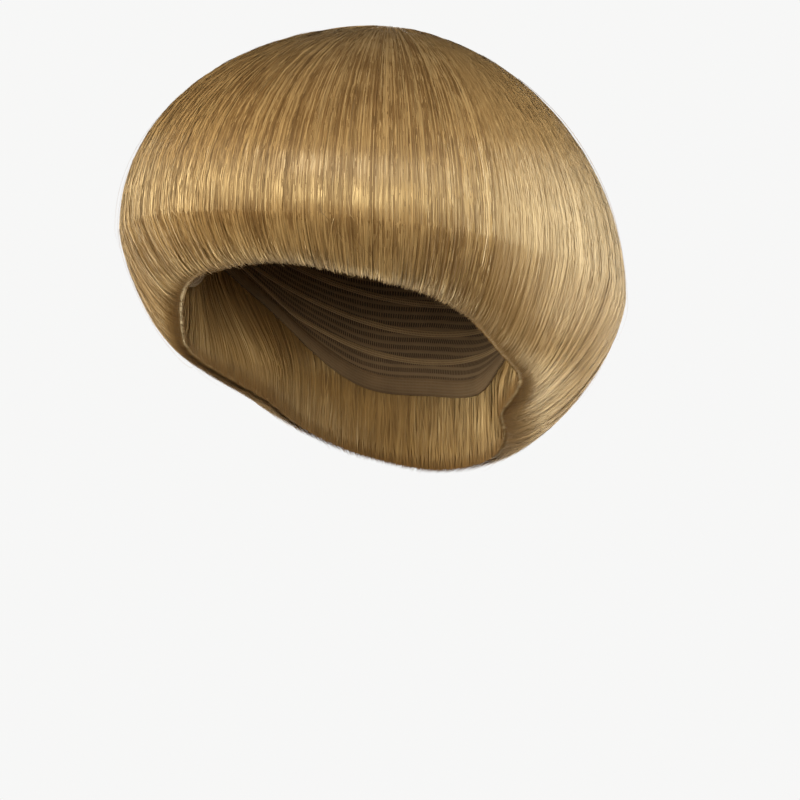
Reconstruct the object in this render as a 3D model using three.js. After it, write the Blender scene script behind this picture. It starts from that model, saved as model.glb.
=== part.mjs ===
// A bowl cut wig: straight blond hair that falls from a crown whorl over a full, rounded bulge, with its ends
// rolled under to the head, high over the forehead and low at the nape. The hair hangs on a thin fitted cap.
// Millimetres, +Z up. The wearer faces -Y, and +X is the wearer's left.
// The origin is the inside of the cap's crown, where the top of the head meets it.

import * as THREE from "three";

// The head that the wig fits
const headWidth = 150;
const headLength = 190;
const headWidestDrop = 86; // from the crown down to the widest ring
const headFullness = 2.3; // power of the dome's profile, where 2 is an ellipse
const neckDrop = 142; // where the back of the head has narrowed to the neck
const neckTaper = 0.32; // share of its size that it has lost there

// The cap
const capWall = 1.5;
const capFrontDrop = 46; // from the crown down to the cap's edge over the forehead
const capNapeDrop = 152;

// The hair: how far it stands out from the cap, and how far it falls below the crown
const crownVolume = 11.9;
const frontVolume = 20.5;
const sideVolume = 28;
const napeVolume = 26;
const frontBulgeDrop = 54; // down to the fullest ring, over the forehead
const napeBulgeDrop = 122;
const fringeDrop = 77.5; // down to the tips, over the forehead
const napeDrop = 188;
const tipThickness = 3; // how thick the hair still is where it reaches the head
const frontFullness = 2.11; // power of the dome's profile, over the forehead
const napeFullness = 1.81;
const frontTuck = 1.5; // power of the profile under the bulge, where 1 is an ellipse and 2 a straight line
const napeTuck = 1.2;
const whorlSetback = 16; // from the middle of the head back to the whorl that the hair falls from

// The locks
const grooveDepth = 1.4; // between two locks, at the bulge
const grooveAtTips = 0.6; // share of that depth left at the tips
const tipNotch = 1.2; // how much shorter a lock is at its sides than in its middle
const tipStagger = 1; // how much the locks differ in length
const lockWidthSpread = 0.25; // how much wider or narrower than the mean a lock can be, as a share
const pieceGap = 0.4; // between two sections of hair
const whorlGap = 0.6; // between the whorl piece and the sections
const capGap = 0.6; // between the cap and the hair

// Where the whorl piece ends: travel is 0 at the whorl, 1 at the bulge and 2 at the tips
const whorlTravel = 0.15;
const groovesFullTravel = 0.7;

// The sections of hair, in degrees round from the middle of the forehead towards the wearer's left
const sections = [
  { name: "fringe", from: -48, to: 48, locks: 14 },
  { name: "side_left", from: 48, to: 115, locks: 10 },
  { name: "back", from: 115, to: 245, locks: 18 },
  { name: "side_right", from: 245, to: 312, locks: 10 },
];

// The tips' and the cap's edges round one side, as shares of the way from their front drop to their nape drop
const edgeRows = [
  { angle: 0, tips: 0, cap: 0 },
  { angle: 20, tips: 0.051, cap: 0.03 },
  { angle: 35, tips: 0.121, cap: 0.12 },
  { angle: 48, tips: 0.221, cap: 0.27 },
  { angle: 62, tips: 0.382, cap: 0.45 }, // the cap's ear tab
  { angle: 75, tips: 0.491, cap: 0.47 },
  { angle: 90, tips: 0.611, cap: 0.4 }, // over the ear
  { angle: 110, tips: 0.729, cap: 0.57 },
  { angle: 130, tips: 0.838, cap: 0.8 },
  { angle: 155, tips: 0.948, cap: 0.97 },
  { angle: 180, tips: 1, cap: 1 },
];

// How finely the surfaces are divided
const facetsPerLock = 4;
const domeRows = 10;
const rollRows = 8;
const whorlRows = 3;
// The cap and the inside of the hair have their facets between the same rings round the head, so they stay
// parallel: shares of the way from the crown to the widest ring, from there to the neck, and from there to the tips.
const domeRings = [0, 0.023, 0.093, 0.21, 0.38, 0.6, 0.81];
const napeRings = [0, 0.29, 0.54, 0.77, 1];
const neckRings = [0.5, 1.05];
const whorlRing = 2; // the ring, from 0 at the crown, where the whorl piece ends inside

const hairTone = { color: 0xb08a55, roughness: 0.42, metalness: 0 };
const capTone = { color: 0x8a6a42, roughness: 0.9, metalness: 0 };

const radians = (degrees) => (degrees * Math.PI) / 180;
const quarterTurn = Math.PI / 2;
const hairRoot = capWall + capGap; // how far outside the head the hair starts
const crownTop = hairRoot + crownVolume;
const blend = (low, high, share) => low + (high - low) * share;
const easeIn = (low, high, value) => {
  const share = Math.min(1, Math.max(0, (value - low) / (high - low)));
  return share * share * (3 - 2 * share);
};
const ringDrops = [
  ...domeRings.map((share) => blend(0, headWidestDrop, share)),
  ...napeRings.map((share) => blend(headWidestDrop, neckDrop, share)),
  ...neckRings.map((share) => blend(neckDrop, napeDrop, share)),
];

// A smooth curve through one column of edgeRows. Both sides of the head are alike.
function edgeShare(column, angle) {
  const turned = Math.abs(((((angle + 180) % 360) + 360) % 360) - 180);
  const last = edgeRows.length - 1;
  const k = Math.min(last - 1, edgeRows.findLastIndex((row) => row.angle <= turned));
  const slope = (i) => {
    if (i === 0 || i === last) return 0;
    const [before, after] = [edgeRows[i - 1], edgeRows[i + 1]];
    return (after[column] - before[column]) / (after.angle - before.angle);
  };
  const [a, b] = [edgeRows[k], edgeRows[k + 1]];
  const span = b.angle - a.angle;
  const s = (turned - a.angle) / span;
  const bend = s * (1 - s);
  const straight = blend(a[column], b[column], s * s * (3 - 2 * s));
  return straight + bend * span * (slope(k) * (1 - s) - slope(k + 1) * s);
}

const innerEdge = (angle) => tipDrop(angle) - tipNotch - tipStagger;
const tipDrop = (angle) => blend(fringeDrop, napeDrop, edgeShare("tips", angle));
const capDrop = (angle) => blend(capFrontDrop, capNapeDrop, edgeShare("cap", angle));
const towardsNape = (angle) => (1 - Math.cos(radians(angle))) / 2;
const bulgeDrop = (angle) => blend(frontBulgeDrop, napeBulgeDrop, towardsNape(angle));

// A level point, radius from the middle of the head
function pointAt(angle, radius, z) {
  const turn = radians(angle);
  return new THREE.Vector3(radius * Math.sin(turn), -radius * Math.cos(turn), z);
}

function ellipseRadius(angle, halfWidth, front, back) {
  const turn = radians(angle);
  const halfLength = Math.cos(turn) > 0 ? front : back;
  return 1 / Math.hypot(Math.sin(turn) / halfWidth, Math.cos(turn) / halfLength);
}

const headRing = (angle) => ellipseRadius(angle, headWidth / 2, headLength / 2, headLength / 2);

// A point of the head's true curve, or grow millimetres outside it, that lies drop below the crown
function headCurve(angle, drop, grow) {
  const ring = headRing(angle);
  if (drop < headWidestDrop) {
    const fall = drop / headWidestDrop;
    const reach = (1 - (1 - fall) ** headFullness) ** (1 / headFullness);
    return pointAt(angle, (ring + grow) * reach, grow * (1 - fall) - drop);
  }
  const behind = easeIn(-0.45, 0.25, -Math.cos(radians(angle)));
  const taper = neckTaper * behind * easeIn(headWidestDrop, neckDrop, drop);
  return pointAt(angle, ring * (1 - taper) + grow, -drop);
}

// The same on the straight line between two rings
function headPoint(angle, drop, grow) {
  const k = Math.min(ringDrops.length - 2, ringDrops.findLastIndex((ring) => ring <= drop));
  const [above, below] = [ringDrops[k], ringDrops[k + 1]];
  return headCurve(angle, above, grow).lerp(headCurve(angle, below, grow), (drop - above) / (below - above));
}

// One column of points on the head's rings, from one ring down to an edge
function headColumn(angle, firstRing, edge, grow) {
  return [...ringDrops.slice(firstRing), edge].map((drop) => headPoint(angle, Math.min(drop, edge), grow));
}

function bulgeRing(angle) {
  const halfWidth = headWidth / 2 + hairRoot + sideVolume;
  const halfLength = headLength / 2 + hairRoot;
  return ellipseRadius(angle, halfWidth, halfLength + frontVolume, halfLength + napeVolume);
}

// A point of the hair's outer surface, sunk in by inset. The hair runs in straight lines, seen from above, from
// the whorl to the bulge, and then turns in under it to the head.
function hairPoint(angle, travel, inset, shorter) {
  const bulge = bulgeRing(angle);
  if (travel <= 1) {
    const spread = Math.sin(travel * quarterTurn);
    const whorl = new THREE.Vector3(0, whorlSetback, 0);
    const plan = whorl.lerp(pointAt(angle, bulge, 0), spread);
    const heading = THREE.MathUtils.radToDeg(Math.atan2(plan.x, -plan.y));
    const share = Math.min(1, plan.length() / bulgeRing(heading));
    const fullness = blend(frontFullness, napeFullness, towardsNape(heading));
    const height = (1 - share ** fullness) ** (1 / fullness);
    const z = crownTop - (crownTop + bulgeDrop(heading)) * (1 - height);
    const out = pointAt(heading, share, height);
    return plan.setZ(z).addScaledVector(out, -inset);
  }
  const turn = (travel - 1) * quarterTurn;
  const tips = tipDrop(angle) - shorter;
  const tipRadius = headPoint(angle, tips, hairRoot + tipThickness);
  const tuck = blend(frontTuck, napeTuck, towardsNape(angle));
  const radius = blend(Math.hypot(tipRadius.x, tipRadius.y), bulge, Math.cos(turn) ** tuck);
  const z = -blend(bulgeDrop(angle), tips, Math.sin(turn) ** tuck);
  const out = pointAt(angle, Math.cos(turn), -Math.sin(turn));
  return pointAt(angle, radius, z).addScaledVector(out, -inset);
}

// Triangles between two lines of points, which may differ in number
function zip(first, second, triangles) {
  let [i, j] = [0, 0];
  while (i < first.length - 1 || j < second.length - 1) {
    const stepFirst = (i + 1) / (first.length - 1) <= (j + 1) / (second.length - 1) + 1e-9;
    if (i < first.length - 1 && (stepFirst || j === second.length - 1)) {
      triangles.push([first[i], first[i + 1], second[j]]);
      i += 1;
    } else {
      triangles.push([first[i], second[j + 1], second[j]]);
      j += 1;
    }
  }
}

function sheet(rows, triangles) {
  for (let k = 0; k + 1 < rows.length; k += 1) zip(rows[k + 1], rows[k], triangles);
}

// One closed wall between an outer and an inner sheet, whose rows run from the top down and round the head.
// A wall that goes all the way round has no sides.
function wallBetween(outer, inner, closedRound) {
  const triangles = [];
  const facingIn = [];
  sheet(outer, triangles);
  sheet(inner, facingIn);
  zip(outer[0], inner[0], triangles);
  zip(inner.at(-1), outer.at(-1), triangles);
  if (!closedRound) {
    const column = (rows, index) => {
      const points = rows.map((row) => row.at(index));
      return points.filter((point, i) => i === 0 || !point.equals(points[i - 1]));
    };
    // The same triangles at both sides, so that two sections that meet are parallel there
    zip(column(inner, 0), column(outer, 0), triangles);
    zip(column(inner, -1), column(outer, -1), facingIn);
  }
  for (const [a, b, c] of facingIn) triangles.push([a, c, b]);
  const solid = triangles.filter(([a, b, c]) => !a.equals(b) && !b.equals(c) && !c.equals(a));
  const geometry = new THREE.BufferGeometry().setFromPoints(solid.flat());
  geometry.computeVertexNormals();
  return geometry;
}

function piece(name, geometry, tone) {
  const mesh = new THREE.Mesh(geometry, new THREE.MeshStandardMaterial(tone));
  mesh.name = name;
  return mesh;
}

const steps = (from, to, count) => Array.from({ length: count + 1 }, (_, i) => blend(from, to, i / count));

// Evenly mixed values from -1 to 1, so that no two locks beside each other are alike
const unlike = (index) => 2 * ((index * 0.618034) % 1) - 1;

// Rows of points from columns of them
const turned = (columns) => columns[0].map((_, row) => columns.map((column) => column[row]));

// The angles of the joins between a section's locks, from its one side to the other
function lockJoins({ from, to, locks }) {
  const widths = Array.from({ length: locks }, (_, i) => 1 + lockWidthSpread * unlike(i * i + locks));
  const whole = widths.reduce((sum, width) => sum + width);
  const joins = [from];
  for (const width of widths.slice(0, -1)) joins.push(joins.at(-1) + ((to - from) * width) / whole);
  return [...joins, to];
}

const joinAngles = sections.flatMap((section) => lockJoins(section).slice(0, -1));

function hairSection(section, firstLock) {
  const joins = lockJoins(section);
  // One column for each facet of each lock, with where it lies in its lock
  const columns = joins.slice(0, -1).flatMap((from, lock) =>
    steps(0, 1, facetsPerLock)
      .slice(0, -1)
      .map((share) => ({ angle: blend(from, joins[lock + 1], share), share, lock: firstLock + lock })),
  );
  columns.push({ angle: section.to, share: 0, lock: firstLock + section.locks - 1 });
  // Half a gap along the head at each side of the section
  const eased = (point, angle) => {
    const side = angle === section.from ? 1 : angle === section.to ? -1 : 0;
    return point.addScaledVector(pointAt(angle + 90, 1, 0), (side * pieceGap) / 2);
  };
  // 1 in the groove between two locks, and from 0 to 0.4 along a lock's ridge
  const grooveAt = ({ share, lock }) => (share === 0 ? 1 : 1 - 4 * share * (1 - share) * (0.8 - 0.2 * unlike(lock)));
  const shorterAt = ({ share, lock }) =>
    share === 0 ? tipNotch + tipStagger : tipNotch * (2 * share - 1) ** 2 + (tipStagger * (1 + unlike(lock))) / 2;
  const depthAt = (travel) => {
    const grown = easeIn(whorlTravel, groovesFullTravel, travel);
    return grooveDepth * grown * blend(1, grooveAtTips, easeIn(1.3, 2, travel));
  };
  const travels = [...steps(whorlTravel, 1, domeRows), ...steps(1, 2, rollRows).slice(1)];
  const outer = travels.map((travel) =>
    columns.map((column) => {
      const inset = depthAt(travel) * grooveAt(column);
      return eased(hairPoint(column.angle, travel, inset, shorterAt(column)), column.angle);
    }),
  );
  const inner = turned(
    joins.map((angle) =>
      headColumn(angle, whorlRing, innerEdge(angle), hairRoot).map((point) => eased(point, angle)),
    ),
  );
  return piece(section.name, wallBetween(outer, inner, false), hairTone);
}

// Rows all the way round, with the last point of each the same as its first
const closedRows = (columns) => turned([...columns, columns[0]]);

// The round top piece that closes the sections over the crown
function crownWhorl() {
  // Each ring is drawn in towards the middle, the outermost by a full gap
  const drawnIn = (point, middleY, share) => {
    const level = new THREE.Vector3(-point.x, middleY - point.y, 0);
    return share > 0 ? point.addScaledVector(level.normalize(), share * whorlGap) : point;
  };
  const shares = steps(0, 1, whorlRows);
  const outer = closedRows(
    joinAngles.map((angle) =>
      shares.map((share) => drawnIn(hairPoint(share > 0 ? angle : 0, share * whorlTravel, 0, 0), whorlSetback, share)),
    ),
  );
  const drops = ringDrops.slice(0, whorlRing + 1);
  const inner = closedRows(
    joinAngles.map((angle) =>
      drops.map((drop, k) => drawnIn(headPoint(k > 0 ? angle : 0, drop, hairRoot), 0, k / whorlRing)),
    ),
  );
  return piece("crown_whorl", wallBetween(outer, inner, true), hairTone);
}

function wigCap() {
  const skin = (grow) => {
    const top = headPoint(0, 0, grow);
    return closedRows(joinAngles.map((angle) => [top, ...headColumn(angle, 1, capDrop(angle), grow)]));
  };
  return piece("wig_cap", wallBetween(skin(capWall), skin(0), true), capTone);
}

const wig = new THREE.Group();
wig.add(wigCap(), crownWhorl());
let firstLock = 0;
for (const section of sections) {
  wig.add(hairSection(section, firstLock));
  firstLock += section.locks;
}

export default wig;
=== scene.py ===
import math

import bpy
import numpy as np
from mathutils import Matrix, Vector


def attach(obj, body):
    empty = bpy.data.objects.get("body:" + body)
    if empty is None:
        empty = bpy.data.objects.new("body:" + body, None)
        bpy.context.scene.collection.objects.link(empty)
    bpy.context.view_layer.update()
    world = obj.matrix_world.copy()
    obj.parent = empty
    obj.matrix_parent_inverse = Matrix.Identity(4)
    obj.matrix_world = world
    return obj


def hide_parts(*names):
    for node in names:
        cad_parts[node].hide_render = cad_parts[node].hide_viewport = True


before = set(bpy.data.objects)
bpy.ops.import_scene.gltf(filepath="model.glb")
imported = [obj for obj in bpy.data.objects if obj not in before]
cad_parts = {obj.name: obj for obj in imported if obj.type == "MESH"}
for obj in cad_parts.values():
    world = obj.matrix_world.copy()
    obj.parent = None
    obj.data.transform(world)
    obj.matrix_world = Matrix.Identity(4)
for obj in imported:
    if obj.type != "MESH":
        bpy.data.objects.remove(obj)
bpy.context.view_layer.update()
print("frame loaded with", len(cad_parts), "nodes")

# The camera stands to the wearer's left and a little above the wig, and aims below it
cameraView = {
    "azimuth": 22,
    "elevation": 5,
    "distance": 1.3,
    "middle": (0, 0, -0.069),
    "aimRight": 0.0109,
    "aimDown": 0.0753,
    "lens": 137.5,
}


def awayFrom(azimuth, elevation):
    turn, rise = math.radians(azimuth), math.radians(elevation)
    return Vector((math.sin(turn) * math.cos(rise), -math.cos(turn) * math.cos(rise), math.sin(rise)))


def placeCamera(view):
    back = awayFrom(view["azimuth"], view["elevation"])
    middle = Vector(view["middle"])
    right = Vector((0, 0, 1)).cross(back).normalized()
    up = back.cross(right)
    aim = middle + right * view["aimRight"] - up * view["aimDown"]
    camera = bpy.data.objects.new("camera", bpy.data.cameras.new("camera"))
    camera.data.lens = view["lens"]
    camera.location = middle + back * view["distance"]
    camera.rotation_mode = "QUATERNION"
    camera.rotation_quaternion = (aim - camera.location).to_track_quat("-Z", "Y")
    bpy.context.collection.objects.link(camera)
    bpy.context.scene.camera = camera


placeCamera(cameraView)
print("camera placed")

# The wig's sizes, as its solids have them, in millimetres. Drops are measured down from the
# inside of the cap's crown, and volumes out from the cap's outside.
wig = {
    "headWidth": 150,
    "headLength": 190,
    "headWidestDrop": 86,
    "headFullness": 2.3,
    "neckDrop": 142,
    "neckTaper": 0.32,
    "taperAround": (-0.45, 0.25),  # where the taper sets in and is full, -1 in front and 1 behind
    "capWall": 1.5,
    "capGap": 0.6,
    "capFrontDrop": 46,
    "capNapeDrop": 152,
    "crownVolume": 11.9,
    "frontVolume": 20.5,
    "sideVolume": 28,
    "napeVolume": 26,
    "frontBulgeDrop": 54,
    "napeBulgeDrop": 122,
    "fringeDrop": 77.5,
    "napeDrop": 188,
    "tipThickness": 3,
    "frontFullness": 2.11,
    "napeFullness": 1.81,
    "frontTuck": 1.5,
    "napeTuck": 1.2,
    "whorlSetback": 16,
    "grooveDepth": 1.4,
    "grooveAtTips": 0.6,
    "grooveStart": (0.15, 0.7),  # travel over which the grooves between locks deepen
    "grooveFades": 1.3,  # travel where they begin to fade
    "ridgeHeight": 0.8,
    "ridgeSpread": 0.2,
    "lockWidthSpread": 0.25,
    "pieceGap": 0.4,
}

# Degrees round from the middle of the forehead, then shares of the way from the front drop to
# the nape drop
edgeAngles = np.array([0, 20, 35, 48, 62, 75, 90, 110, 130, 155, 180.0])
tipShares = np.array([0, 0.051, 0.121, 0.221, 0.382, 0.491, 0.611, 0.729, 0.838, 0.948, 1])
capShares = np.array([0, 0.03, 0.12, 0.27, 0.45, 0.47, 0.4, 0.57, 0.8, 0.97, 1])

hairRoot = wig["capWall"] + wig["capGap"]
crownTop = hairRoot + wig["crownVolume"]


def blend(low, high, share):
    return low + (high - low) * share


def easeIn(low, high, value):
    share = np.clip((value - low) / (high - low), 0, 1)
    return share * share * (3 - 2 * share)


# A smooth line round the head through the shares at the edge angles
def edgeDrop(front, nape, shares, angle):
    turned = np.abs((angle + 180) % 360 - 180)
    slopes = np.zeros(len(shares))
    slopes[1:-1] = (shares[2:] - shares[:-2]) / (edgeAngles[2:] - edgeAngles[:-2])
    k = np.clip(np.searchsorted(edgeAngles, turned, side="right") - 1, 0, len(shares) - 2)
    span = edgeAngles[k + 1] - edgeAngles[k]
    s = (turned - edgeAngles[k]) / span
    straight = blend(shares[k], shares[k + 1], s * s * (3 - 2 * s))
    bend = s * (1 - s) * span * (slopes[k] * (1 - s) - slopes[k + 1] * s)
    return blend(front, nape, straight + bend)


def tipDrop(angle):
    return edgeDrop(wig["fringeDrop"], wig["napeDrop"], tipShares, angle)


def capDrop(angle):
    return edgeDrop(wig["capFrontDrop"], wig["capNapeDrop"], capShares, angle)


def towardsNape(angle):
    return (1 - np.cos(np.radians(angle))) / 2


def bulgeDrop(angle):
    return blend(wig["frontBulgeDrop"], wig["napeBulgeDrop"], towardsNape(angle))


def pointAt(angle, radius, z):
    turn = np.radians(angle)
    return np.stack(np.broadcast_arrays(radius * np.sin(turn), -radius * np.cos(turn), z), -1)


def ellipseRadius(angle, halfWidth, front, back):
    turn = np.radians(angle)
    halfLength = np.where(np.cos(turn) > 0, front, back)
    return 1 / np.hypot(np.sin(turn) / halfWidth, np.cos(turn) / halfLength)


# A point on the head, or as far off it as grow says
def headPoint(angle, drop, grow):
    half = wig["headLength"] / 2
    ring = ellipseRadius(angle, wig["headWidth"] / 2, half, half)
    fall = np.clip(drop / wig["headWidestDrop"], 0, 1)
    reach = (1 - (1 - fall) ** wig["headFullness"]) ** (1 / wig["headFullness"])
    behind = easeIn(*wig["taperAround"], -np.cos(np.radians(angle)))
    taper = wig["neckTaper"] * behind * easeIn(wig["headWidestDrop"], wig["neckDrop"], drop)
    radius = np.where(drop < wig["headWidestDrop"], (ring + grow) * reach, ring * (1 - taper) + grow)
    return pointAt(angle, radius, grow * (1 - fall) - drop)


def bulgeRing(angle):
    halfWidth = wig["headWidth"] / 2 + hairRoot + wig["sideVolume"]
    halfLength = wig["headLength"] / 2 + hairRoot
    return ellipseRadius(angle, halfWidth, halfLength + wig["frontVolume"], halfLength + wig["napeVolume"])


# Travel is 0 at the whorl, 1 at the bulge and 2 at the tips
atTips = 2


# A point on the hair's outside, or as deep below it as inset says
def hairPoint(angle, travel, inset, shorter):
    angle, travel, inset, shorter = np.broadcast_arrays(angle, travel, inset, shorter)
    bulge = bulgeRing(angle)
    spread = np.sin(np.clip(travel, 0, 1) * math.pi / 2)[..., None]
    plan = pointAt(angle, bulge, 0) * spread + np.array([0, wig["whorlSetback"], 0]) * (1 - spread)
    heading = np.degrees(np.arctan2(plan[..., 0], -plan[..., 1]))
    share = np.clip(np.hypot(plan[..., 0], plan[..., 1]) / bulgeRing(heading), 0, 1)
    fullness = blend(wig["frontFullness"], wig["napeFullness"], towardsNape(heading))
    height = (1 - share**fullness) ** (1 / fullness)
    dome = plan.copy()
    dome[..., 2] = crownTop - (crownTop + bulgeDrop(heading)) * (1 - height)
    dome = dome - pointAt(heading, share, height) * inset[..., None]
    turn = np.clip(travel - 1, 0, 1) * math.pi / 2
    tips = tipDrop(angle) - shorter
    rim = headPoint(angle, tips, hairRoot + wig["tipThickness"])
    tuck = blend(wig["frontTuck"], wig["napeTuck"], towardsNape(angle))
    radius = blend(np.hypot(rim[..., 0], rim[..., 1]), bulge, np.cos(turn) ** tuck)
    z = -blend(bulgeDrop(angle), tips, np.sin(turn) ** tuck)
    roll = pointAt(angle, radius, z) - pointAt(angle, np.cos(turn), -np.sin(turn)) * inset[..., None]
    return np.where((travel <= 1)[..., None], dome, roll)


goldenShare = 0.618034


# Between -1 and 1, and unlike its neighbours'
def unlike(index):
    return 2 * ((index * goldenShare) % 1) - 1


def lockJoins(section):
    locks = section["locks"]
    widths = [1 + wig["lockWidthSpread"] * unlike(i * i + locks) for i in range(locks)]
    spans = np.cumsum([0] + widths) / sum(widths)
    return section["from"] + (section["to"] - section["from"]) * spans


# How far a point lies below the locks' ridges
def lockInset(section, angle, travel):
    joins = lockJoins(section)
    k = np.clip(np.searchsorted(joins, angle, side="right") - 1, 0, section["locks"] - 1)
    share = np.clip((angle - joins[k]) / (joins[k + 1] - joins[k]), 0, 1)
    ridge = wig["ridgeHeight"] - wig["ridgeSpread"] * unlike(section["firstLock"] + k)
    groove = 1 - 4 * share * (1 - share) * ridge
    grown = easeIn(*wig["grooveStart"], travel)
    left = blend(1, wig["grooveAtTips"], easeIn(wig["grooveFades"], atTips, travel))
    return wig["grooveDepth"] * groove * grown * left


millimetre = 0.001
uvName = "OFBake"


def makePiece(name, shape, material, node):
    points, faces, uvs = shape
    mesh = bpy.data.meshes.new(name)
    mesh.vertices.add(len(points))
    mesh.vertices.foreach_set("co", (points * millimetre).astype(np.float32).ravel())
    mesh.loops.add(faces.size)
    mesh.loops.foreach_set("vertex_index", faces.astype(np.int32).ravel())
    mesh.polygons.add(len(faces))
    corners = faces.shape[1]
    mesh.polygons.foreach_set("loop_start", np.arange(0, faces.size, corners, dtype=np.int32))
    mesh.polygons.foreach_set("use_smooth", np.ones(len(faces), dtype=bool))
    layer = mesh.uv_layers.new(name=uvName)
    layer.data.foreach_set("uv", uvs[faces.ravel()].astype(np.float32).ravel())
    mesh.update(calc_edges=True)
    mesh.validate()
    mesh.materials.append(material)
    piece = bpy.data.objects.new(name, mesh)
    bpy.context.collection.objects.link(piece)
    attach(piece, "root")
    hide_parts(node)


# The forms below are made as points, faces and a UV map
def gridFaces(rows, columns, start=0):
    corner = np.arange(rows * columns).reshape(rows, columns)
    a, b, c, d = corner[:-1, :-1], corner[1:, :-1], corner[1:, 1:], corner[:-1, 1:]
    return np.stack([a, b, c, d], -1).reshape(-1, 4) + start


def joined(parts):
    points, faces, uvs, start = [], [], [], 0
    for part in parts:
        points.append(part[0])
        faces.append(part[1] + start)
        uvs.append(part[2])
        start += len(part[0])
    return np.concatenate(points), np.concatenate(faces), np.concatenate(uvs)


# Moves a form into a strip of the UV map, so that no two forms of a piece lie on each other
def inStrip(part, low, high):
    uvs = part[2].copy()
    uvs[:, 0] = blend(low, high, uvs[:, 0])
    return part[0], part[1], uvs


# Where a wall's sides, outside and inside lie on the UV map
wallMap = {
    "sides": (0.02, 0.98),
    "outside": (0.02, 0.6),
    "inside": (0.65, 0.98),
}


# A closed wall from an outer and an inner grid, which share their columns.
# A ring meets itself and has no sides.
def wallBetween(outer, inner, ring=False):
    rows, columns = outer.shape[:2]
    insideRows = inner.shape[0]
    points = np.concatenate([outer.reshape(-1, 3), inner.reshape(-1, 3)])
    start = rows * columns
    first = np.arange(rows * columns).reshape(rows, columns)
    second = np.arange(insideRows * columns).reshape(insideRows, columns) + start
    faces = [
        gridFaces(rows, columns),
        gridFaces(insideRows, columns, start)[:, ::-1],
        np.stack([second[0, :-1], first[0, :-1], first[0, 1:], second[0, 1:]], -1),
        np.stack([first[-1, :-1], second[-1, :-1], second[-1, 1:], first[-1, 1:]], -1),
    ]
    # The sides pair each outer row with the nearest inner one
    pairing = np.round(np.linspace(0, insideRows - 1, rows)).astype(int)
    sides = [] if ring else [(0, False), (-1, True)]
    for column, flip in sides:
        outside, inside = first[:, column], second[pairing, column]
        wall = np.stack([inside[:-1], inside[1:], outside[1:], outside[:-1]], -1)
        faces.append(wall[:, ::-1] if flip else wall)
    u = np.linspace(*wallMap["sides"], columns)
    grids = [(wallMap["outside"], rows), (wallMap["inside"], insideRows)]
    uvs = []
    for span, count in grids:
        v = np.linspace(*span, count)[:, None]
        uvs.append(np.stack(np.broadcast_arrays(u, v), -1).reshape(-1, 2))
    return points, np.concatenate(faces), np.concatenate(uvs)


def unit(vectors):
    return vectors / np.maximum(np.linalg.norm(vectors, axis=-1, keepdims=True), 1e-9)


ribbonMap = np.array([0.2, 0.8])  # what a ribbon fills of its own strip of the UV map


# Strands as narrow ribbons that lie along their paths.
# across is which way each ribbon's width runs, and roll is how far it turns out of the surface.
def ribbons(paths, across, widths, rolls):
    strands, steps = paths.shape[:2]
    along = unit(np.gradient(paths, axis=1))
    across = unit(across - along * (across * along).sum(-1, keepdims=True))
    outward = np.cross(across, along)
    rolls = rolls[:, None, None]
    half = (across * np.cos(rolls) + outward * np.sin(rolls)) * widths[..., None] / 2
    points = np.stack([paths - half, paths + half], 2)
    corner = np.arange(strands * steps * 2).reshape(strands, steps, 2)
    faces = np.stack([corner[:, :-1, 0], corner[:, 1:, 0], corner[:, 1:, 1], corner[:, :-1, 1]], -1)
    places = (np.arange(strands)[:, None, None] + ribbonMap) / strands
    uvs = np.stack(np.broadcast_arrays(places, np.linspace(0, 1, steps)[:, None]), -1)
    return points.reshape(-1, 3), faces.reshape(-1, 4), uvs.reshape(-1, 2)


slowestWave = 1.7  # radians that it turns in a travel of 1


# A few slow waves, different for each strand
def wander(random, strands, travel, waves):
    order = np.arange(1, waves + 1)[:, None]
    bends = random.normal(0, 1, (strands, waves, 2)) / order
    turns = travel[:, None, :] * order * slowestWave
    return (bends[..., :1] * np.sin(turns) + bends[..., 1:] * (np.cos(turns) - 1)).sum(1)


# Even steps of each strand from its own start to its own end
def travelSteps(start, end, count):
    even = np.linspace(0, 1, count)
    return start[:, None] + (end - start)[:, None] * even


def newMaterial(name):
    material = bpy.data.materials.new(name)
    material.use_nodes = True
    return material, material.node_tree.nodes, material.node_tree.links


def readMap(nodes):
    uv = nodes.new("ShaderNodeUVMap")
    uv.uv_map = uvName
    return uv.outputs["UV"]


def throughWig(nodes):
    return nodes.new("ShaderNodeTexCoord").outputs["Object"]


def stretched(nodes, links, place, across, along):
    stretch = nodes.new("ShaderNodeMapping")
    stretch.inputs["Scale"].default_value = (across, along, 1)
    links.new(place, stretch.inputs["Vector"])
    return stretch.outputs["Vector"]


def noiseAt(nodes, links, place, scale, detail):
    noise = nodes.new("ShaderNodeTexNoise")
    noise.inputs["Scale"].default_value = scale
    noise.inputs["Detail"].default_value = detail
    links.new(place, noise.inputs["Vector"])
    return noise.outputs["Fac"]


def weighedSum(nodes, links, values, weights):
    total = None
    for value, weight in zip(values, weights):
        added = nodes.new("ShaderNodeMath")
        added.operation = "MULTIPLY_ADD"
        added.inputs[1].default_value = weight
        added.inputs[2].default_value = 0
        links.new(value, added.inputs[0])
        if total:
            links.new(total, added.inputs[2])
        total = added.outputs["Value"]
    return total


def colourRamp(nodes, links, value, stops):
    ramp = nodes.new("ShaderNodeValToRGB")
    elements = ramp.color_ramp.elements
    for element, stop in ((elements[0], stops[0]), (elements[1], stops[-1])):
        element.position, element.color = stop
    for position, colour in stops[1:-1]:
        elements.new(position).color = colour
    links.new(value, ramp.inputs["Fac"])
    return ramp.outputs["Color"]


def remapped(nodes, links, value, source, target):
    span = nodes.new("ShaderNodeMapRange")
    span.inputs["From Min"].default_value, span.inputs["From Max"].default_value = source
    span.inputs["To Min"].default_value, span.inputs["To Max"].default_value = target
    links.new(value, span.inputs["Value"])
    return span.outputs["Result"]


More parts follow.
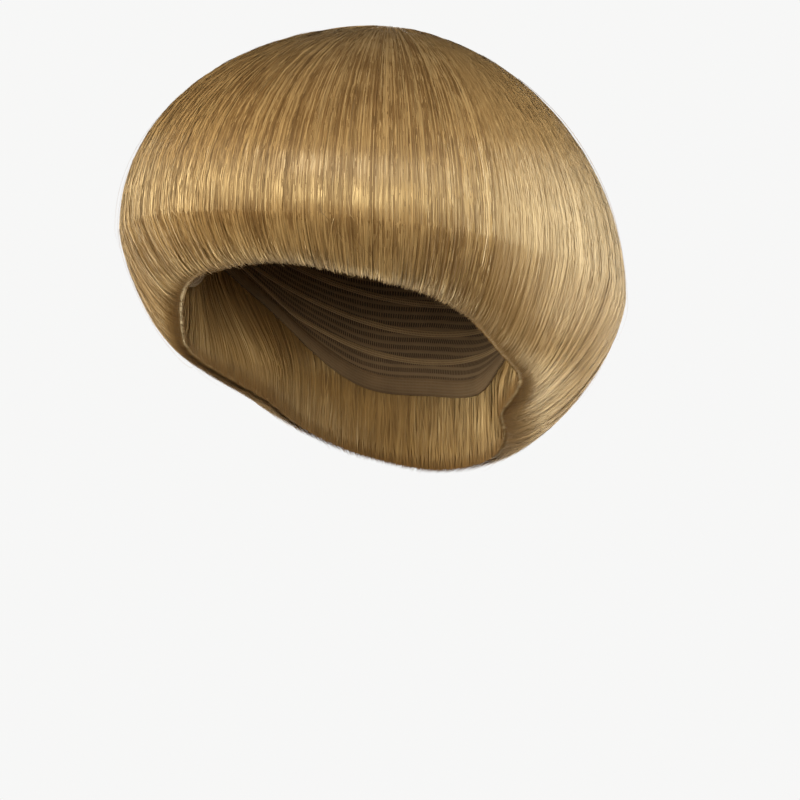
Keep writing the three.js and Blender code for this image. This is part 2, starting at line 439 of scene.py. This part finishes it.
def multiplied(nodes, links, first, second):
    mix = nodes.new("ShaderNodeMix")
    mix.data_type = "RGBA"
    mix.blend_type = "MULTIPLY"
    mix.inputs["Factor"].default_value = 1
    links.new(first, mix.inputs["A"])
    links.new(second, mix.inputs["B"])
    return mix.outputs["Result"]


hairLook = {
    "dark": (0.23, 0.122, 0.038, 1),
    "middle": (0.38, 0.224, 0.078, 1),
    "light": (0.56, 0.362, 0.145, 1),
    # painted shade: the darker tone of the body of hair that shows between the strands
    "paintedShade": (0.25, 0.14, 0.05, 1),  # deep between the strands
    # darker near the whorl: partly the roots' own tone, partly painted shade on the crown's top
    "rootToneAndShade": (0.68, 0.68, 0.68, 1),
    # painted shade darkening the last part of each strand, at the tips
    "tipShade": (0.5, 0.35, 0.16, 1),
    "ownTone": (0.35, 0.84),  # shares of a strand's length with neither root nor tip tone
    "strandNoise": (0.73, 1.6),  # for each strand, and along it
    "streak": 15,  # strands in one
    "streakAlong": 1.3,
    "drift": 55,  # scale of the broad tone that runs through the wig
    "weights": (0.5, 0.8, 0.25),  # of strand, streak and drift
    "detail": 2,
    "darkSpan": 0.2,  # from the middle tone to the darkest, the lightest, and the ends of the gloss
    "lightSpan": 0.22,
    "glossSpan": 0.2,
    "dullest": 0.62,
    "glossiest": 0.3,
    "endsFrom": 0.86,  # where the ends begin to be duller
    "endDullness": 0.6,
    "anisotropy": 0.8,
    "gloss": 1.7,  # index of refraction
    "specular": 1,
    "sheenTint": (1, 0.86, 0.53, 1),
}

# The same hair without the painted shade at the tips, where no ends show
white = (1, 1, 1, 1)
noTipShadeLook = dict(hairLook, tipShade=white)


# A tone for each strand, one for each streak of neighbours, and a broad drift
def hairTone(nodes, links, uv, strands, look):
    perStrand, along = look["strandNoise"]
    places = [
        (stretched(nodes, links, uv, strands * perStrand, along), 1),
        (stretched(nodes, links, uv, strands / look["streak"], look["streakAlong"]), 1),
        (throughWig(nodes), look["drift"]),
    ]
    tones = [noiseAt(nodes, links, place, scale, look["detail"]) for place, scale in places]
    return weighedSum(nodes, links, tones, look["weights"])


# deep is for the body of hair that shows between the strands, which is painted darker than the strands as
# painted shade between them
def hairColour(nodes, links, tone, along, look, deep, contrast):
    middle = sum(look["weights"]) / 2
    dark, light = ("paintedShade", "dark") if deep else ("dark", "light")
    stops = [(middle - look["darkSpan"] / contrast, look[dark])]
    if not deep:
        stops.append((middle, look["middle"]))
    stops.append((middle + look["lightSpan"] / contrast, look[light]))
    own = colourRamp(nodes, links, tone, stops)
    ownFrom, ownTo = look["ownTone"]
    # Along each strand: roots darker, partly their own tone and partly painted shade, and painted shade at
    # the tips
    ends = [(0, look["rootToneAndShade"]), (ownFrom, white), (ownTo, white), (1, look["tipShade"])]
    return multiplied(nodes, links, own, colourRamp(nodes, links, along, ends))


# The darker strands are duller, and so are the ends
def hairRoughness(nodes, links, tone, along, look, contrast):
    middle = sum(look["weights"]) / 2
    span = look["glossSpan"] / contrast
    tones = (middle - span, middle + span)
    strands = remapped(nodes, links, tone, tones, (look["dullest"], look["glossiest"]))
    ends = remapped(nodes, links, along, (look["endsFrom"], 1), (0, look["endDullness"]))
    rough = nodes.new("ShaderNodeMath")
    rough.use_clamp = True
    links.new(strands, rough.inputs[0])
    links.new(ends, rough.inputs[1])
    return rough.outputs["Value"]


def hairMaterial(name, strands, look, deep=False, contrast=1):
    material, nodes, links = newMaterial(name)
    shader = nodes["Principled BSDF"]
    uv = readMap(nodes)
    split = nodes.new("ShaderNodeSeparateXYZ")
    links.new(uv, split.inputs["Vector"])
    along = split.outputs["Y"]
    tone = hairTone(nodes, links, uv, strands, look)
    links.new(hairColour(nodes, links, tone, along, look, deep, contrast), shader.inputs["Base Color"])
    links.new(hairRoughness(nodes, links, tone, along, look, contrast), shader.inputs["Roughness"])
    shader.inputs["Anisotropic"].default_value = look["anisotropy"]
    shader.inputs["IOR"].default_value = look["gloss"]
    shader.inputs["Specular IOR Level"].default_value = look["specular"]
    shader.inputs["Specular Tint"].default_value = look["sheenTint"]
    tangent = nodes.new("ShaderNodeTangent")
    tangent.direction_type = "UV_MAP"
    tangent.uv_map = uvName
    links.new(tangent.outputs["Tangent"], shader.inputs["Tangent"])
    return material


# The hair's sections, in degrees round from the middle of the forehead, with how many strands lie
# on each and how many line its inside. loose is how freely the strands lie, and contrast how much
# their tones differ.
hairSections = [
    {"node": "fringe", "from": -48, "to": 48, "locks": 14, "firstLock": 0,
     "strands": 4400, "inside": 700, "loose": 0.7, "contrast": 2.6},
    {"node": "side_left", "from": 48, "to": 115, "locks": 10, "firstLock": 14,
     "strands": 3500, "inside": 900, "loose": 0.3, "contrast": 0.4},
    {"node": "back", "from": 115, "to": 245, "locks": 18, "firstLock": 24,
     "strands": 4100, "inside": 1100, "loose": 0.6, "contrast": 1},
    {"node": "side_right", "from": 245, "to": 312, "locks": 10, "firstLock": 42,
     "strands": 3500, "inside": 900, "loose": 0.4, "contrast": 0.6},
]

# Lengths are in millimetres, and starts, ends and the like in travel
strandShape = {
    "width": (0.26, 0.52),
    "steps": 20,
    "roll": 0.24,
    "beside": 0.2,  # degrees further round, to find which way a strand's width runs
    "fromWhorl": 0.5,  # share of the strands that leave the whorl
    "whorlStart": (0.09, 0.15),
    "spreadStart": (0.12, 0.97),  # where the rest come up, in shares of the bulge's radius
    "rising": 1.3,  # how deep they lie where they come up
    "risen": 0.16,
    "early": 0.12,  # share of the strands that end early
    "earlyEnd": (1.55, 1.95),
    "hairRadius": 95,  # turns widths round the head into degrees
    "clumpWidth": 3.6,
    "clumpBlur": 0.12,
    "clumpPull": 0.2,
    "clumpsFrom": 0.5,
    "pullSpread": (0.3, 1),
    "stray": (0.04, 0.26),
    "strayWaves": 3,
    "layers": (-0.1, 1.1),  # how deep the strands lie below the locks' surface
    "layerWander": 0.1,
    "layerWaves": 2,
    "ripple": 0.2,  # uneven depth from step to step
    "lockDepth": 0.18,  # share of the solids' grooves
    "thinFrom": 1.7,  # where the layers draw together towards the tips
    "thinning": 0.6,
    "intoTips": (-0.2, 1.8),  # how far the tips lie up in the roll
    "intoTipsFrom": 1.62,
    "shorter": (-0.2, 1.3),  # how far above the edge the strands end
    "tipsReachIn": (0, 1.6),  # how far the ends turn in towards the head
    "reachFrom": 1.86,
    "thinStart": (0.25, 0.12),  # width at the start, and the travel to the full width
    "thinEnd": (0.1, 0.3),
}


def strandTravel(shape, random):
    count = shape["strands"]
    rooted = random.random(count) < shape["fromWhorl"]
    whorlStart = random.uniform(*shape["whorlStart"], count)
    spreadStart = np.arcsin(random.uniform(*shape["spreadStart"], count)) / (math.pi / 2)
    start = np.where(rooted, whorlStart, spreadStart)
    early = random.random(count) < shape["early"]
    end = np.where(early, random.uniform(*shape["earlyEnd"], count), atTips)
    return rooted, start, end, travelSteps(start, end, shape["steps"])


# Strands draw together in clumps towards the tips, and each strays a little
def strandPath(angle, travel, shape, random):
    count = shape["strands"]
    degree = math.degrees(1 / shape["hairRadius"])
    pitch = shape["clumpWidth"] * degree
    clump = (np.floor(angle / pitch) + 0.5) * pitch + random.normal(0, shape["clumpBlur"], count) * pitch
    grown = easeIn(shape["clumpsFrom"], atTips, travel)
    pull = shape["clumpPull"] * shape["loose"] * grown
    pull = pull * random.uniform(*shape["pullSpread"], count)[:, None]
    waves = wander(random, count, travel, shape["strayWaves"])
    stray = waves * random.uniform(*shape["stray"], count)[:, None] * degree
    return angle[:, None] + (clump - angle)[:, None] * pull + stray


def strandInset(grooves, rooted, start, travel, shape, random):
    count = shape["strands"]
    depth = random.uniform(*shape["layers"], count)[:, None] * shape["loose"]
    depth = depth + wander(random, count, travel, shape["layerWaves"]) * shape["layerWander"]
    depth = depth + random.normal(0, shape["ripple"], travel.shape) * shape["loose"]
    depth = depth * (1 - easeIn(shape["thinFrom"], atTips, travel) * shape["thinning"])
    risen = easeIn(0, shape["risen"], travel - start[:, None])
    rising = shape["rising"] * (1 - risen) * ~rooted[:, None]
    lift = random.uniform(*shape["intoTips"], count)[:, None]
    lift = lift * easeIn(shape["intoTipsFrom"], atTips, travel)
    return grooves * shape["lockDepth"] + depth + rising + lift


def outerStrands(section, shape, random):
    shape = {**shape, **section}
    count = shape["strands"]
    span = section["to"] - section["from"]
    angle = section["from"] + span * (np.arange(count) + random.random(count)) / count
    rooted, start, end, travel = strandTravel(shape, random)
    path = strandPath(angle, travel, shape, random)
    inset = strandInset(lockInset(section, path, travel), rooted, start, travel, shape, random)
    shorter = random.uniform(*shape["shorter"], count)[:, None]
    reach = random.uniform(*shape["tipsReachIn"], count)[:, None]
    reach = reach * easeIn(shape["reachFrom"], atTips, travel)
    points = hairPoint(path, travel, inset, shorter) - pointAt(path, reach, 0)
    beside = path + shape["beside"]
    across = hairPoint(beside, travel, inset, shorter) - pointAt(beside, reach, 0) - points
    startWidth, startLength = shape["thinStart"]
    endWidth, endLength = shape["thinEnd"]
    width = random.uniform(*shape["width"], count)[:, None]
    width = width * blend(startWidth, 1, easeIn(0, startLength, travel - start[:, None]))
    width = width * blend(1, endWidth, easeIn(-endLength, 0, travel - end[:, None]))
    return ribbons(points, across, width, random.normal(0, shape["roll"] * shape["loose"], count))


# Short crossing hairs that stand off the surface
flyawayShape = {
    "count": 36,
    "fromSeam": 4,  # degrees
    "start": (0.35, 1.35),
    "length": (0.25, 0.9),
    "lastEnd": 1.97,
    "drift": 4.5,  # degrees across the other strands
    "driftBend": 1.5,
    "wander": 0.8,
    "waves": 3,
    "above": 0.5,
    "lift": (0.2, 1.6),
    "arch": 0.8,
    "width": (0.14, 0.26),
    "endWidth": 0.5,
}


def flyaways(section, shape, random):
    count = shape["count"]
    angle = random.uniform(section["from"] + shape["fromSeam"], section["to"] - shape["fromSeam"], count)
    start = random.uniform(*shape["start"], count)
    end = np.minimum(start + random.uniform(*shape["length"], count), shape["lastEnd"])
    travel = travelSteps(start, end, strandShape["steps"])
    share = np.linspace(0, 1, strandShape["steps"])
    drift = random.normal(0, shape["drift"], count)[:, None] * share ** shape["driftBend"]
    path = angle[:, None] + drift + wander(random, count, travel, shape["waves"]) * shape["wander"]
    lift = random.uniform(*shape["lift"], count)[:, None] * np.sin(share * math.pi * shape["arch"])
    inset = -shape["above"] - lift
    points = hairPoint(path, travel, inset, 0)
    across = hairPoint(path + strandShape["beside"], travel, inset, 0) - points
    width = random.uniform(*shape["width"], count)[:, None] * blend(1, shape["endWidth"], share)
    return ribbons(points, across, width, random.normal(0, strandShape["roll"], count))


# The underside that shows below the cap: the same hair seen from the head
insideShape = {
    "steps": 10,
    "wander": 0.5,
    "waves": 2,
    "aboveCapEdge": (3, 9),
    "aboveTips": 1.6,
    "uneven": 1,
    "offHead": (0.9, 1.9),
    "towardsTips": 0.8,  # how much further off the head they are at the tips
    "towardsTipsFrom": 0.6,
    "width": (0.4, 0.8),
    "endWidth": 0.3,
    "thinFrom": 0.7,
}


def innerStrands(section, shape, random):
    count = section["inside"]
    span = section["to"] - section["from"]
    angle = section["from"] + span * (np.arange(count) + random.random(count)) / count
    random.shuffle(angle)
    share = np.linspace(0, 1, shape["steps"])
    travel = np.tile(share * atTips, (count, 1))
    path = angle[:, None] + wander(random, count, travel, shape["waves"]) * shape["wander"]
    top = capDrop(path) - random.uniform(*shape["aboveCapEdge"], count)[:, None]
    shorter = np.abs(random.normal(0, shape["uneven"], count))[:, None]
    drop = blend(top, tipDrop(path) - shorter - shape["aboveTips"], share)
    grow = random.uniform(*shape["offHead"], count)[:, None]
    grow = grow + shape["towardsTips"] * easeIn(shape["towardsTipsFrom"], 1, share)
    points = headPoint(path, drop, grow)
    # From the head a strand's two sides change places
    across = points - headPoint(path + strandShape["beside"], drop, grow)
    thin = blend(1, shape["endWidth"], easeIn(shape["thinFrom"], 1, share))
    width = random.uniform(*shape["width"], count)[:, None] * thin
    return ribbons(points, across, width, random.normal(0, strandShape["roll"], count))


massShape = {
    "columns": 1.5,  # for each degree round the head
    "rows": 44,
    "insideRows": 14,
    "start": 0.15,  # travel where it leaves the whorl
    "grooves": 0.85,  # share of the solids' grooves
    "below": 0.9,  # how deep the body of hair lies below the strands
    "belowFrom": (0.1, 0.3),
    "furrow": 0.55,  # how deep its own grooves are
    "furrowFrom": (0.15, 0.6),
    "shorter": 1.5,
    "insideShorter": 2.4,
    "insideTop": 0.093,  # share of the drop to the head's widest ring
    "insideCrowding": 1.3,  # rows closer together at the top
    "streaks": 700,
}


# The closed body of hair under the strands
def hairMass(section, shape, random):
    columns = int((section["to"] - section["from"]) * shape["columns"]) + 1
    angle = np.linspace(section["from"], section["to"], columns)
    travel = np.linspace(shape["start"], atTips, shape["rows"])[:, None]
    furrows = random.uniform(0, shape["furrow"], columns) * easeIn(*shape["furrowFrom"], travel)
    below = shape["below"] * easeIn(*shape["belowFrom"], travel)
    inset = lockInset(section, angle, travel) * shape["grooves"] + below + furrows
    outer = hairPoint(angle, travel, inset, shape["shorter"])
    edge = tipDrop(angle) - shape["insideShorter"]
    drops = np.linspace(0, 1, shape["insideRows"])[:, None] ** shape["insideCrowding"]
    inner = headPoint(angle, blend(wig["headWidestDrop"] * shape["insideTop"], edge, drops), hairRoot)
    # Half a gap to the next section
    shift = np.zeros(columns)
    shift[0], shift[-1] = wig["pieceGap"] / 2, -wig["pieceGap"] / 2
    aside = pointAt(angle + 90, shift, 0)
    return wallBetween(outer + aside, inner + aside)


def dressSection(section, seed):
    random = np.random.default_rng(seed)
    node = section["node"]
    mass = hairMass(section, massShape, random)
    # The body is painted darker than the strands, as painted shade between them
    massLook = hairMaterial(node + "_body", massShape["streaks"], noTipShadeLook, deep=True)
    makePiece(node + "_body", mass, massLook, node)
    total = section["strands"] + section["inside"] + flyawayShape["count"]
    onTop = section["strands"] / total
    inside = (section["strands"] + section["inside"]) / total
    strands = joined([
        inStrip(outerStrands(section, strandShape, random), 0, onTop),
        inStrip(innerStrands(section, insideShape, random), onTop, inside),
        inStrip(flyaways(section, flyawayShape, random), inside, 1),
    ])
    strandLook = hairMaterial(node + "_strands", total, hairLook, contrast=section["contrast"])
    makePiece(node + "_strands", strands, strandLook, node)
    print(node, "has", 2 * len(strands[1]), "triangles of strands on", 2 * len(mass[1]))


firstSeed = 100
for number, section in enumerate(hairSections):
    dressSection(section, firstSeed + number)

crownShape = {
    "seed": 7,
    "strands": 1100,
    "steps": 9,
    "beside": 0.5,
    "atWhorl": 0.6,  # share of the strands that leave the very middle
    "whorlStart": (0.004, 0.02),
    "laterStart": (0.02, 0.11),
    "reach": (0.16, 0.3),  # travel where the strands end, over the sections' own
    "swirl": 14,  # degrees that the strands turn as they leave the whorl
    "swirlEnds": 0.14,
    "wander": 1.5,
    "waves": 2,
    "layers": (-0.35, 0.7),
    "sinking": 0.9,  # how deep the ends sink among the sections' strands
    "sinkingFrom": (0.12, 0.24),
    "width": (0.35, 0.65),
    "startWidth": 0.4,
    "startLength": 0.06,
    "endWidth": 0.25,
    "bodyColumns": 97,
    "bodyRows": 9,
    "bodyReach": 0.147,
    "below": 0.8,
    "belowAt": 0.1,
    "insideRows": 5,
    "insideDrop": 0.09,  # share of the drop to the head's widest ring
    "streaks": 300,
}


def crownStrands(shape, random):
    count = shape["strands"]
    angle = random.uniform(0, 360, count)
    central = random.random(count) < shape["atWhorl"]
    whorlStart = random.uniform(*shape["whorlStart"], count)
    start = np.where(central, whorlStart, random.uniform(*shape["laterStart"], count))
    travel = travelSteps(start, random.uniform(*shape["reach"], count), shape["steps"])
    swirl = shape["swirl"] * (1 - easeIn(0, shape["swirlEnds"], travel))
    path = angle[:, None] + swirl + wander(random, count, travel, shape["waves"]) * shape["wander"]
    layer = random.uniform(*shape["layers"], count)[:, None]
    inset = layer + shape["sinking"] * easeIn(*shape["sinkingFrom"], travel)
    points = hairPoint(path, travel, inset, 0)
    across = hairPoint(path + shape["beside"], travel, inset, 0) - points
    share = np.linspace(0, 1, shape["steps"])
    thin = blend(shape["startWidth"], 1, easeIn(0, shape["startLength"], travel))
    thin = thin * blend(1, shape["endWidth"], share**2)
    width = random.uniform(*shape["width"], count)[:, None] * thin
    return ribbons(points, across, width, random.normal(0, strandShape["roll"], count))


def crownBody(shape):
    angle = np.linspace(0, 360, shape["bodyColumns"])
    travel = np.linspace(0, shape["bodyReach"], shape["bodyRows"])[:, None]
    outer = hairPoint(angle, travel, shape["below"] * easeIn(0, shape["belowAt"], travel), 0)
    drops = np.linspace(0, wig["headWidestDrop"] * shape["insideDrop"], shape["insideRows"])[:, None]
    return wallBetween(outer, headPoint(angle, drops, hairRoot), ring=True)


# The crown's body is painted darker too, as painted shade between its strands
crownLook = hairMaterial("crown_body", crownShape["streaks"], noTipShadeLook, deep=True)
makePiece("crown_body", crownBody(crownShape), crownLook, "crown_whorl")
crown = crownStrands(crownShape, np.random.default_rng(crownShape["seed"]))
crownStrandLook = hairMaterial("crown_strands", crownShape["strands"], noTipShadeLook)
makePiece("crown_strands", crown, crownStrandLook, "crown_whorl")
print("crown has", 2 * len(crown[1]), "triangles of strands")

capShape = {
    "columns": 181,
    "rows": 60,
    "crowding": 1.4,  # rows closer together at the crown
    "lowestWeft": 6,  # above the band
    "weftReach": 150,  # no weft starts higher above the edge than this
    "weftSpacing": 12,  # from one stitched row of hair to the next
    "weftWidth": 2.4,
    "weftToBand": 2,  # the least room between a weft and the band
    "bandWidth": 8,  # the elastic edge
    "stripHeight": 0.5,
    "stripBevel": 0.3,
    "stripGap": 0.02,  # between a strip and the net
    "topDrop": 1,  # no strip reaches nearer the crown
}


stripMap = np.array([0.1, 0.2, 0.8, 0.9])  # what a strip fills of its own row of the UV map


# A strip round the inside of the cap, from a line at the given drops upwards
def capStrip(shape, drops, width, row, rows):
    angle = np.linspace(0, 360, shape["columns"])
    height, bevel = shape["stripHeight"], shape["stripBevel"]
    profile = np.array([[0, 0], [bevel, height], [width - bevel, height], [width, 0]])
    drops = np.maximum(drops - profile[:, :1], shape["topDrop"])
    points = headPoint(angle, drops, -profile[:, 1:] - shape["stripGap"])
    across = (row + stripMap)[:, None] / rows
    uvs = np.stack(np.broadcast_arrays(np.linspace(0, 1, shape["columns"]), across), -1)
    return points.reshape(-1, 3), gridFaces(*points.shape[:2]), uvs.reshape(-1, 2)


# The wefts run level from ear to ear and don't dip with the ear tabs, but stay above the band
def weftDrops(shape, low):
    angle = np.linspace(0, 360, shape["columns"])
    level = blend(wig["capFrontDrop"], wig["capNapeDrop"], towardsNape(angle))
    return np.minimum(level - low, capDrop(angle) - shape["bandWidth"] - shape["weftToBand"])


def weftRows(shape):
    return np.arange(shape["bandWidth"] + shape["lowestWeft"], shape["weftReach"], shape["weftSpacing"])


def capWefts(shape):
    lows = weftRows(shape)
    return joined([
        capStrip(shape, weftDrops(shape, low), shape["weftWidth"], row, len(lows))
        for row, low in enumerate(lows)
    ])


def capBand(shape):
    edge = capDrop(np.linspace(0, 360, shape["columns"]))
    return capStrip(shape, edge, shape["bandWidth"], 0, 1)


def netCap(shape):
    angle = np.linspace(0, 360, shape["columns"])
    drop = np.linspace(0, 1, shape["rows"])[:, None] ** shape["crowding"] * capDrop(angle)
    return wallBetween(headPoint(angle, drop, wig["capWall"]), headPoint(angle, drop, 0), ring=True)


capLook = {
    "net": (0.24, 0.165, 0.095, 1),
    # painted shade in the net's openings, where the wig's inside shows through
    "gap": (0.06, 0.036, 0.018, 1),
    "weft": (0.2, 0.125, 0.06, 1),
    "stitch": (0.42, 0.3, 0.17, 1),
    "netThreads": (460, 190),  # round the cap and up it
    "stitches": 620,  # along each weft and the band
    "stitchRows": 3,  # in a weft
    "bandRows": 9,
    "netOpenness": 0.45,
    "weftOpenness": 0.5,
    "bandOpenness": 0.4,
    "softness": 0.3,  # from gap to thread
    "crooked": 0.6,
    "wearScale": 70,
    "wear": (0.72, 1.25),
    "roughness": 0.85,
    "relief": 0.5,
    "reliefDepth": 0.0003,
}

bandsInOne = 3.18  # a wave texture has this many bands for each unit


def threadWave(nodes, links, uv, axis, count):
    wave = nodes.new("ShaderNodeTexWave")
    wave.bands_direction = axis
    wave.inputs["Scale"].default_value = count / bandsInOne
    wave.inputs["Distortion"].default_value = capLook["crooked"]
    wave.inputs["Detail"].default_value = 1
    links.new(uv, wave.inputs["Vector"])
    return wave.outputs["Fac"]


# Crossing threads with dark gaps between them, as many each way as counts says. On the net the gap colour
# is painted shade in its openings.
def wovenMaterial(name, counts, thread, gap, openness):
    material, nodes, links = newMaterial(name)
    shader = nodes["Principled BSDF"]
    uv = readMap(nodes)
    higher = nodes.new("ShaderNodeMath")
    higher.operation = "MAXIMUM"
    for place, axis in enumerate(("X", "Y")):
        links.new(threadWave(nodes, links, uv, axis, counts[place]), higher.inputs[place])
    threads = higher.outputs["Value"]
    colour = colourRamp(nodes, links, threads, [(openness, gap), (openness + capLook["softness"], thread)])
    worn = noiseAt(nodes, links, throughWig(nodes), capLook["wearScale"], 3)
    wear = remapped(nodes, links, worn, (0, 1), capLook["wear"])
    links.new(multiplied(nodes, links, colour, wear), shader.inputs["Base Color"])
    shader.inputs["Roughness"].default_value = capLook["roughness"]
    bump = nodes.new("ShaderNodeBump")
    bump.inputs["Strength"].default_value = capLook["relief"]
    bump.inputs["Distance"].default_value = capLook["reliefDepth"]
    links.new(threads, bump.inputs["Height"])
    links.new(bump.outputs["Normal"], shader.inputs["Normal"])
    return material


def dressCap(shape, look):
    net, wefts, band = netCap(shape), capWefts(shape), capBand(shape)
    netLook = wovenMaterial("cap_net", look["netThreads"], look["net"], look["gap"], look["netOpenness"])
    makePiece("cap_net", net, netLook, "wig_cap")
    weftCounts = (look["stitches"], len(weftRows(shape)) * look["stitchRows"])
    weftLook = wovenMaterial("cap_wefts", weftCounts, look["stitch"], look["weft"], look["weftOpenness"])
    makePiece("cap_wefts", wefts, weftLook, "wig_cap")
    bandCounts = (look["stitches"], look["bandRows"])
    bandLook = wovenMaterial("cap_band", bandCounts, look["net"], look["weft"], look["bandOpenness"])
    makePiece("cap_band", band, bandLook, "wig_cap")
    print("cap has", 2 * (len(net[1]) + len(wefts[1]) + len(band[1])), "triangles")


dressCap(capShape, capLook)

studio = {
    "floorHeight": -1.2,
    "floorReach": 100,
    "paper": (0.93, 0.93, 0.925, 1),  # the evenly lit floor, and what lies beyond it
    "ambient": (0.95, 0.97, 1, 1),
    "ambientStrength": 0.05,
    "lightsAim": (0, 0, -0.08),
}

# Azimuth and elevation are where each light stands, seen from the wig
softLights = [
    {"name": "front", "azimuth": 10, "elevation": 15, "distance": 1.5,
     "size": (1.8, 0.5), "watts": 12, "colour": (1, 0.9, 0.72)},
    {"name": "frontHigh", "azimuth": 12, "elevation": 38, "distance": 1.5,
     "size": (1.6, 0.6), "watts": 9, "colour": (1, 0.96, 0.98)},
    {"name": "rightSide", "azimuth": 92, "elevation": 6, "distance": 1.3,
     "size": (0.8, 1.2), "watts": 9.5, "colour": (0.98, 1, 1)},
    {"name": "rightTall", "azimuth": 128, "elevation": -3, "distance": 1.3,
     "size": (0.9, 2.0), "watts": 24.5, "colour": (0.97, 1, 1)},
    {"name": "rightLow", "azimuth": 154, "elevation": -54, "distance": 1.1,
     "size": (0.6, 0.6), "watts": 6.2, "colour": (1, 0.92, 0.74)},
    {"name": "leftSide", "azimuth": -64, "elevation": 4, "distance": 1.4,
     "size": (1.5, 1.15), "watts": 20, "colour": (1, 0.92, 0.74)},
    {"name": "leftTall", "azimuth": -108, "elevation": -8, "distance": 1.3,
     "size": (0.9, 1.6), "watts": 10, "colour": (1, 0.93, 0.76)},
    {"name": "leftLow", "azimuth": -110, "elevation": -50, "distance": 1.1,
     "size": (0.6, 0.6), "watts": 3.2, "colour": (1, 0.86, 0.6)},
    {"name": "behind", "azimuth": 196, "elevation": -14, "distance": 1.5,
     "size": (1.6, 1.4), "watts": 22, "colour": (1, 0.97, 0.92)},
]


def placeLight(settings, aim):
    data = bpy.data.lights.new(settings["name"], "AREA")
    data.shape = "ELLIPSE"
    data.size, data.size_y = settings["size"]
    data.energy = settings["watts"]
    data.color = settings["colour"]
    light = bpy.data.objects.new(settings["name"], data)
    back = awayFrom(settings["azimuth"], settings["elevation"])
    light.location = Vector(aim) + back * settings["distance"]
    light.rotation_mode = "QUATERNION"
    light.rotation_quaternion = (-back).to_track_quat("-Z", "Y")
    bpy.context.collection.objects.link(light)


# The paper throws no light on the wig, and casts no shadow on it
def layFloor(settings):
    size = settings["floorReach"]
    mesh = bpy.data.meshes.new("floor")
    corners = [(-size, -size), (size, -size), (size, size), (-size, size)]
    mesh.from_pydata([(x, y, settings["floorHeight"]) for x, y in corners], [], [(0, 1, 2, 3)])
    floor = bpy.data.objects.new("floor", mesh)
    material, nodes = newMaterial("floor_paper")[:2]
    shader = nodes["Principled BSDF"]
    shader.inputs["Base Color"].default_value = (0, 0, 0, 1)
    shader.inputs["Specular IOR Level"].default_value = 0
    shader.inputs["Emission Color"].default_value = settings["paper"]
    shader.inputs["Emission Strength"].default_value = 1
    mesh.materials.append(material)
    bpy.context.collection.objects.link(floor)
    floor.visible_diffuse = floor.visible_glossy = floor.visible_shadow = False


# A faint light from all round, and the paper's own tone where the camera looks past it
def surround(settings):
    world = bpy.data.worlds.new("studio")
    world.use_nodes = True
    nodes, links = world.node_tree.nodes, world.node_tree.links
    ambient = nodes["Background"]
    ambient.inputs["Color"].default_value = settings["ambient"]
    ambient.inputs["Strength"].default_value = settings["ambientStrength"]
    beyond = nodes.new("ShaderNodeBackground")
    beyond.inputs["Color"].default_value = settings["paper"]
    seen = nodes.new("ShaderNodeLightPath")
    either = nodes.new("ShaderNodeMixShader")
    links.new(seen.outputs["Is Camera Ray"], either.inputs["Fac"])
    links.new(ambient.outputs["Background"], either.inputs[1])
    links.new(beyond.outputs["Background"], either.inputs[2])
    links.new(either.outputs["Shader"], nodes["World Output"].inputs["Surface"])
    bpy.context.scene.world = world
    bpy.context.scene.view_settings.view_transform = "Standard"


layFloor(studio)
surround(studio)
for settings in softLights:
    placeLight(settings, studio["lightsAim"])
print("studio lit")
